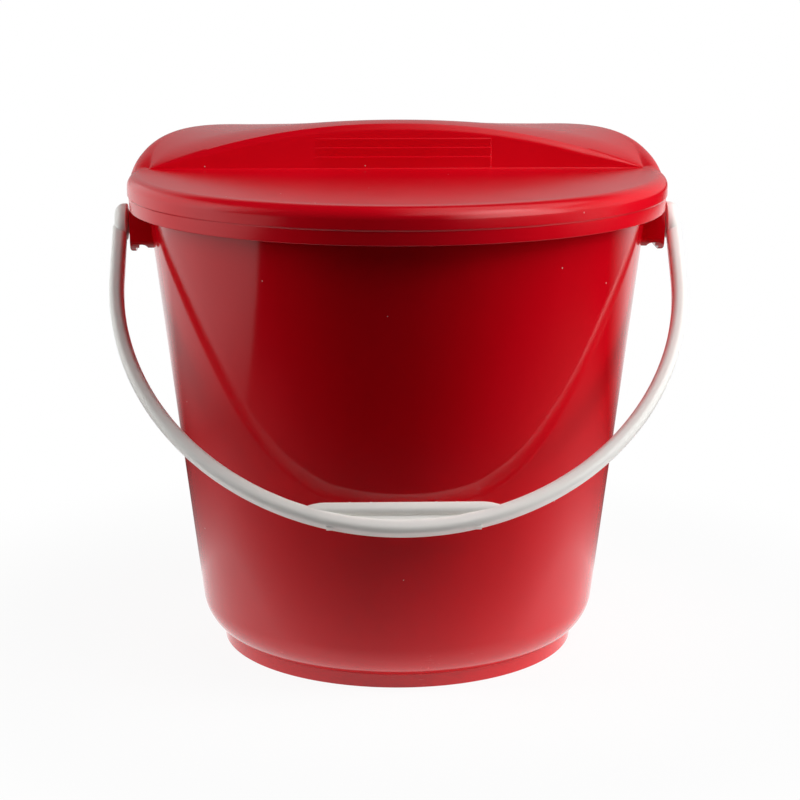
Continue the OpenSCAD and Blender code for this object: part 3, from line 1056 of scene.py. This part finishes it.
@dataclass
class Bail(Moulding):
    """The bail: two arms with bosses, studs and heads, a half-round bend, and a grip bar."""

    node: str = "handle"
    slot: str = "handle_white"
    finish: Finish = Finish.HANDLE
    crease: float = 38.0
    width: float = 0.008
    thick: float = 0.0095
    rounding: float = 0.0032
    arm: float = 0.039
    boss_r: float = 0.0102
    boss_inset: float = 0.0011
    boss_round: float = 0.005
    boss_edge: float = 0.0006
    stud_r: float = 0.0042
    stud_gap: float = 0.0003
    stud_flare: float = 0.0036
    head_lip: float = 0.0008
    head_gap: float = 0.0005
    head_len: float = 0.0026
    head_round: float = 0.001
    head_edge: float = 0.0002
    plate: float = 0.003
    grip_in: float = 0.0107
    grip_half: float = 0.04
    grip_w: float = 0.0075
    grip_t: float = 0.0087
    grip_bend_r: float = 0.024
    grip_bend: float = 25.0
    web: float = 0.003
    nubs: Point = (0.0169, 0.0278)
    nub_r: float = 0.0017
    nub_out: float = 0.001
    nub_from: float = 80.0
    bend_steps: int = 160
    grip_steps: int = 40
    turned_steps: int = 14
    arm_steps: int = 12
    bar_round: int = 8
    head_steps: int = 6
    edge_steps: int = 4
    boss_turns: int = 96
    nub_turns: int = 32
    nub_steps: int = 12

    def __post_init__(self) -> None:
        """Take the studs' axis, the resting angle and the overall width from the frame."""
        grip = next(m for m in frame["record"]["mounts"] if m["name"] == "grip")
        self.pivot_z = pivot_height()
        forward, down = -grip["pos_m"][1], self.pivot_z - grip["pos_m"][2]
        self.rest = math.atan2(forward, down)
        self.grip_s = math.hypot(forward, down)
        self.ear_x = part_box("bucket")[1].x
        self.out_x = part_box("handle")[1].x

    def section(self, width: float, thick: float) -> list[Point]:
        """Work out the outline of a bar with rounded edges.

        Args:
            width: Size along the first axis.
            thick: Size along the second axis.

        Returns:
            The outline.
        """
        r, count = self.rounding, self.bar_round
        w, t = width / 2 - r, thick / 2 - r
        corners = [((w, t), 0), ((-w, t), 90), ((-w, -t), 180), ((w, -t), 270)]
        return [p for centre, a in corners for p in arc(centre, r, a, a + 90, count)]

    def bar(self) -> Solid:
        """Make the bail's own bar: two straight arms and a half circle.

        Returns:
            The bar, hanging straight down from the studs' axis.
        """
        section = self.section(self.width, self.thick)
        start, count, bend_r = -self.boss_r / 2, self.arm_steps, self.out_x - self.width / 2
        stations = [(0.0, mix(start, -self.arm, t)) for t in shares(count)[:-1]]
        stations += [(180.0 * t, -self.arm) for t in shares(self.bend_steps)]
        stations += [(180.0, mix(-self.arm, start, t)) for t in shares(count)[1:]]
        rings = []
        for turn, height in stations:
            c, s = turned(turn)
            rings.append([((bend_r + w) * c, t, height - (bend_r + w) * s) for w, t in section])
        return Solid().rings(rings)

    def grip_bar(self) -> Solid:
        """Make the straight grip bar with its two bent ends.

        Returns:
            The bar, hanging straight down from the studs' axis.
        """
        section = self.section(self.grip_w, self.grip_t)
        half, bend, bends = self.grip_half, self.grip_bend, shares(self.turned_steps)
        stations = [(-half, -bend * (1 - t)) for t in bends[:-1]]
        stations += [(mix(-half, half, t), 0.0) for t in shares(self.grip_steps)]
        stations += [(half, bend * t) for t in bends[1:]]
        r, base, rings = self.grip_bend_r, -self.grip_s - self.grip_bend_r, []
        for x, turn in stations:
            c, s = turned(turn)
            rings.append([(x + (r + w) * s, t, base + (r + w) * c) for w, t in section])
        return Solid().rings(rings)

    def web_plate(self) -> Solid:
        """Return the web between the grip bar and the bail's own bar."""
        half, thick = self.grip_half, self.web / 2
        return Solid().rings([
            [(-half, -thick, z), (half, -thick, z), (half, thick, z), (-half, thick, z)]
            for z in (-self.grip_s, -self.grip_s - self.grip_in)
        ])

    def nub(self, x: float) -> Solid:
        """Make one nub of the grip bar.

        Args:
            x: Place along the bar.

        Returns:
            The nub, hanging straight down from the studs' axis.
        """
        r, turn = self.nub_r, self.nub_from
        outline = [(0.0, -r), *arc((0.0, 0.0), r, -turn, turn, self.nub_steps), (0.0, r)]
        centre = (x, 0.0, -self.grip_s + self.grip_w / 2 + self.nub_out - r)
        return Solid().lathe(outline, self.nub_turns).moved(Matrix.Translation(centre))

    def boss(self, side: int) -> Solid:
        """Make the boss, stud and head at one end of the bail.

        Args:
            side: 1 for the right end, and -1 for the left one.

        Returns:
            The three, as one solid.
        """
        out, arm_in = self.out_x - self.boss_inset, self.out_x - self.width
        head_r, head_x = self.stud_r + self.head_lip, self.ear_x - self.plate - self.head_gap
        end, bulge = head_x - self.head_len, self.head_round
        bevel, edge = self.head_edge, self.boss_edge
        outer = (self.boss_r - self.boss_round, out - self.boss_round)
        outline = [
            (0.0, end),
            *arc((head_r - bulge, end + bulge), bulge, -90, 0, self.head_steps),
            (head_r, head_x - bevel), (head_r - bevel, head_x), (self.stud_r, head_x),
            (self.stud_r, self.ear_x + self.stud_gap), (self.stud_r + self.stud_flare, arm_in),
            *arc((self.boss_r - edge, arm_in + edge), edge, -90, 0, self.edge_steps),
            *arc(outer, self.boss_round, 0, 90, self.turned_steps),
            (0.0, out),
        ]
        turn = Matrix.Rotation(side * math.pi / 2, 4, "Y")
        return Solid().lathe(outline, self.boss_turns).moved(turn)

    def solids(self) -> list[Solid]:
        """Make the bail's bars, web, nubs and bosses.

        Returns:
            The solids, turned to where the bail rests.
        """
        hung = Matrix.Translation((0, 0, self.pivot_z)) @ Matrix.Rotation(-self.rest, 4, "X")
        found = [self.bar(), self.grip_bar(), self.web_plate(), self.boss(1), self.boss(-1)]
        found += [self.nub(side * x) for x in self.nubs for side in (-1, 1)]
        return [solid.moved(hung) for solid in found]


@dataclass(frozen=True)
class Softbox:
    """A rectangular soft light: its place, the point it faces, its size and its level.

    The level is how brightly it lights a white card at the point it faces, where 1 is white.
    Gloss doesn't show it: the cards of the world and the floor do that.
    """

    name: str
    place: Triple
    aim: Triple
    size: Point
    level: float

    def hang(self) -> None:
        """Hang the light."""
        away = Vector(self.aim) - Vector(self.place)
        data = bpy.data.lights.new(self.name, "AREA")
        data.shape = "RECTANGLE"
        data.size, data.size_y = self.size
        data.energy = self.level * (math.pi * away.length) ** 2
        light = shown(self.name, data)
        light.location = self.place
        light.rotation_euler = away.to_track_quat("-Z", "Y").to_euler()
        light.visible_glossy = False


@dataclass(frozen=True)
class Card:
    """A bright part of the studio that only gloss shows, with soft edges.

    Each edge is a quantity, the value at which the card has gone dark, and the one at which it is
    full.
    """

    level: float
    edges: tuple[tuple[str, float, float], ...]

    def field(self, quantities: dict[str, Field]) -> Field:
        """Make the card's brightness.

        Args:
            quantities: Values by name, for the card's edges.

        Returns:
            The brightness.
        """
        (name, dark, full), *others = self.edges
        found = quantities[name].ramp(dark, full)
        for name, dark, full in others:
            found = found * quantities[name].ramp(dark, full)
        return found * self.level


@dataclass
class Studio:
    """The camera, the soft lights and the pale floor that the fire bucket is shown with."""

    lens: float = 93.66
    sensor: float = 36.0
    distance: float = 1.159
    height: float = 0.41
    aside: float = -0.03
    pitch: float = 13.29
    aim_x: float = 0.0015
    far_clip: float = 50.0
    floor_size: float = 8.0
    floor_crease: float = 30.0
    table_edge: Point = (0.38, 0.15)
    table_far: Colour = (0.05, 0.05, 0.05)
    table_near: Colour = (0.9, 0.9, 0.9)
    shadow: float = 0.08
    fill: float = 0.012
    foot_glow: float = 0.12
    foot_glow_width: float = 2.0
    foot_glow_power: float = -2.4
    # Painted light: the floor glows near the foot for every ray but the camera's, to light the
    # bucket's foot, though it is no lamp. These are the glow's strength and the radii at which it
    # is gone and full.
    floor_glow: float = 0.33
    floor_glow_edge: Point = (0.2, 0.11)
    brightest: float = 1.1
    card_slant: float = 0.957
    softboxes: tuple[Softbox, ...] = (
        Softbox("key_light", (1.15, -0.14, 0.38), (0, 0, 0.15), (0.6, 0.9), 0.85),
        Softbox("left_light", (-0.92, -0.08, 0.18), (-0.05, 0, 0.12), (0.45, 0.7), 0.44),
        Softbox("back_light", (0.1, 1.2, 0.35), (0, 0, 0.12), (0.8, 0.7), 0.35),
        Softbox("top_light", (0.75, -0.42, 1.15), (0, -0.08, 0.2), (0.9, 1.0), 0.68),
        Softbox("left_top_light", (-1.0, -0.22, 0.75), (-0.13, -0.05, 0.18), (0.5, 0.7), 0.4),
    )
    floor_foot: Card = Card(1.0, (("radius", 3.8, 2.1),))
    floor_left: Card = Card(0.8, (("x", -0.26, -0.75), ("slant", 0.3, 0.31)))
    floor_back: Card = Card(1.0, (("y", 0.25, 0.8), ("x", 1.1, 0.85)))
    world_back: Card = Card(0.42, (("y", 0.0, 0.2), ("z", 0.62, 0.54)))
    world_left: Card = Card(1.0, (("x", -0.3, -0.4), ("y/x", 0.3, 0.03), ("z/x", -1.2, -0.65)))
    world_top: Card = Card(1.2, (("z", 0.6, 0.7), ("x/z", -0.05, 0.2), ("y/z", 0.6, 0.4)))
    world_right: Card = Card(3.7, (
        ("x", 0.05, 0.2), ("y/x", -3.0, -0.6), ("y/x", -0.2, -0.45), ("z/x", -0.17, 0.05),
        ("z/x", 3.0, 1.3)))

    def camera(self) -> None:
        """Make the camera at the photograph's viewing angle, and set it as the scene's."""
        data = bpy.data.cameras.new("camera")
        data.lens = self.lens
        data.sensor_width = self.sensor
        data.clip_end = self.far_clip
        camera = shown("camera", data)
        camera.location = (self.aside, -self.distance, self.height)
        turn = math.atan2(self.aim_x - self.aside, self.distance)
        camera.rotation_euler = (math.radians(90.0 - self.pitch), 0.0, -turn)
        bpy.context.scene.camera = camera

    def cards(self, shader: Shader) -> Field:
        """Make what gloss shows of the floor: bright by the foot, at the left and behind.

        Args:
            shader: The floor's node tree.

        Returns:
            How bright the floor is there.
        """
        x, y = shader.axis("X"), shader.axis("Y")
        reach = self.foot_glow
        wide = shader.stretched((1.0 / (self.foot_glow_width * reach), 1.0 / reach, 0.0))
        found = {"x": x, "y": y, "slant": y - x * self.card_slant, "radius": shader.length(wide)}
        foot = (found["radius"] ** self.foot_glow_power) * self.floor_foot.field(found)
        cards = foot.most(self.floor_left.field(found)).most(self.floor_back.field(found))
        return cards.least(self.brightest)

    def floor(self) -> None:
        """Lay the pale floor: it shows white, keeps the object's shadow, and has a painted glow by
        the foot.
        """
        solid, half = Solid(), self.floor_size
        solid.add([(-half, -half, 0), (half, -half, 0), (half, half, 0), (-half, half, 0)])
        solid.face((0, 1, 2, 3))
        floor = shown("floor", solid.mesh("floor", self.floor_crease))
        material = bpy.data.materials.new("pale_floor")
        shader = Shader(material)
        plain, glossy = shader.rays()
        radius = shader.length(shader.place)
        near = radius.ramp(*self.table_edge)
        pale = shader.blend(near, self.table_far, self.table_near)
        # Painted light: a glow on the floor round the foot that lights the bucket's foot for every
        # ray but the camera's; the floor is no lamp.
        floor_glow = radius.ramp(*self.floor_glow_edge) * (1.0 - plain) * self.floor_glow
        lit = shader.node("ShaderNodeAddShader", {}, {
            0: shader.node("ShaderNodeBsdfDiffuse", {}, {"Color": pale}),
            1: shader.white("ShaderNodeEmission", floor_glow)})
        white = shader.white("ShaderNodeEmission", 1.0)
        shine = shader.white("ShaderNodeEmission", self.cards(shader))
        surface = shader.either(plain * (1.0 - near * self.shadow), lit, white)
        surface = shader.either(glossy, surface, shine)
        shader.node("ShaderNodeOutputMaterial", {}, {"Surface": surface})
        floor.data.materials.append(material)

    def world(self) -> None:
        """Set a white backdrop, a faint even fill, and the cards that only gloss shows."""
        world = bpy.data.worlds.new("studio")
        bpy.context.scene.world = world
        shader = Shader(world, "Generated")
        plain, glossy = shader.rays()
        x, y, z = (shader.axis(name) for name in "XYZ")
        found = {"x": x, "y": y, "z": z, "y/x": y / x, "z/x": z / x, "x/z": x / z, "y/z": y / z}
        cards = self.world_back.field(found).most(self.world_left.field(found))
        cards = cards.most(self.world_top.field(found)) + self.world_right.field(found)
        dim = shader.white("ShaderNodeBackground", glossy * cards + self.fill)
        surface = shader.either(plain, dim, shader.white("ShaderNodeBackground", 1.0))
        shader.node("ShaderNodeOutputWorld", {}, {"Surface": surface})
        bpy.context.scene.view_settings.view_transform = "Standard"

    def build(self) -> None:
        """Set the camera, the lights, the floor and the world."""
        self.camera()
        for softbox in self.softboxes:
            softbox.hang()
        self.floor()
        self.world()
        LOG.info("studio: camera %.3f m away, %d soft lights", self.distance, len(self.softboxes))


def main() -> None:
    """Build the studio and the fire bucket's pieces, in order."""
    logging.basicConfig(level=logging.INFO, format="%(name)s: %(message)s")
    Studio().build()
    Bucket().build()
    Lid().build()
    Bail().build()


if __name__ == "__main__":
    main()
